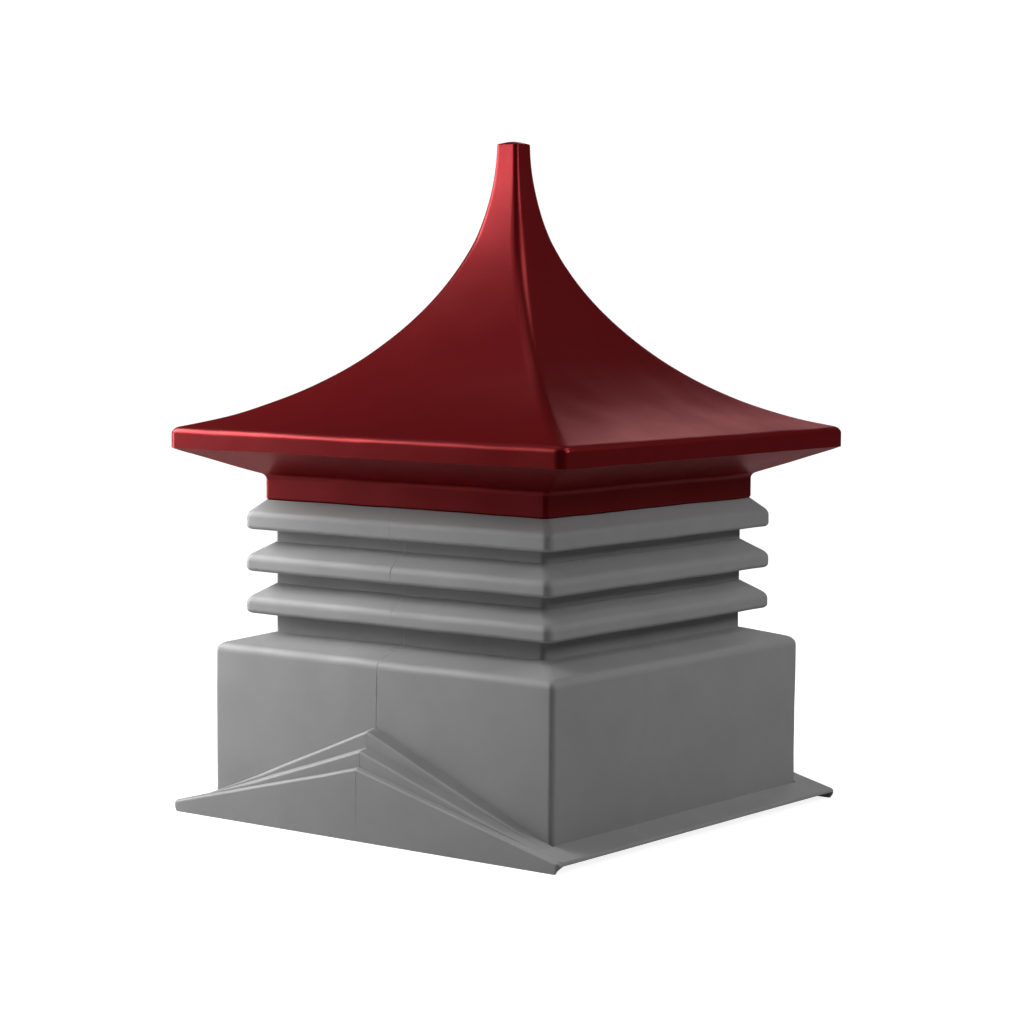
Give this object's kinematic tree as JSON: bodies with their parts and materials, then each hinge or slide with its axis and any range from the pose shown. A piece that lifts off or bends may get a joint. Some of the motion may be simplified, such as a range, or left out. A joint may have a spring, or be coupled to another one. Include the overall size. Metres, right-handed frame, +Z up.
{
  "type": "louvred roof cupola",
  "caption": "Moulded plastic roof cupola: a square louvred base with roof-pitch steps and flanges, and a swept red roof that rises to a slim neck.",
  "frame": {"origin": "centre of the base, on the level of the lower edges of the two gable aprons", "axes": "+Z up; -Y to the front gable end and +Y to the back one; +X and -X to the side flanges, so the roof ridge it stands on runs along Y"},
  "size_m": [0.931, 0.931, 1.279],
  "materials": {
    "roof_plastic": "satin",
    "base_plastic": "satin"
  },
  "bodies": {
    "root": {"roof_crown": "roof_plastic", "roof_neck": "roof_plastic", "roof_front": "roof_plastic", "roof_back": "roof_plastic", "roof_left": "roof_plastic", "roof_right": "roof_plastic", "eave_fascia": "roof_plastic", "eave_soffit": "roof_plastic", "roof_collar": "roof_plastic", "spigot": "base_plastic", "louvre_upper": "base_plastic", "louvre_middle": "base_plastic", "louvre_lower": "base_plastic", "band_upper": "base_plastic", "band_middle": "base_plastic", "band_lower": "base_plastic", "shoulder": "base_plastic", "front_wall": "base_plastic", "back_wall": "base_plastic", "left_wall": "base_plastic", "right_wall": "base_plastic", "front_steep_step": "base_plastic", "front_middle_step": "base_plastic", "front_apron": "base_plastic", "back_steep_step": "base_plastic", "back_middle_step": "base_plastic", "back_apron": "base_plastic", "left_flange": "base_plastic", "right_flange": "base_plastic"}
  },
  "joints": []
}
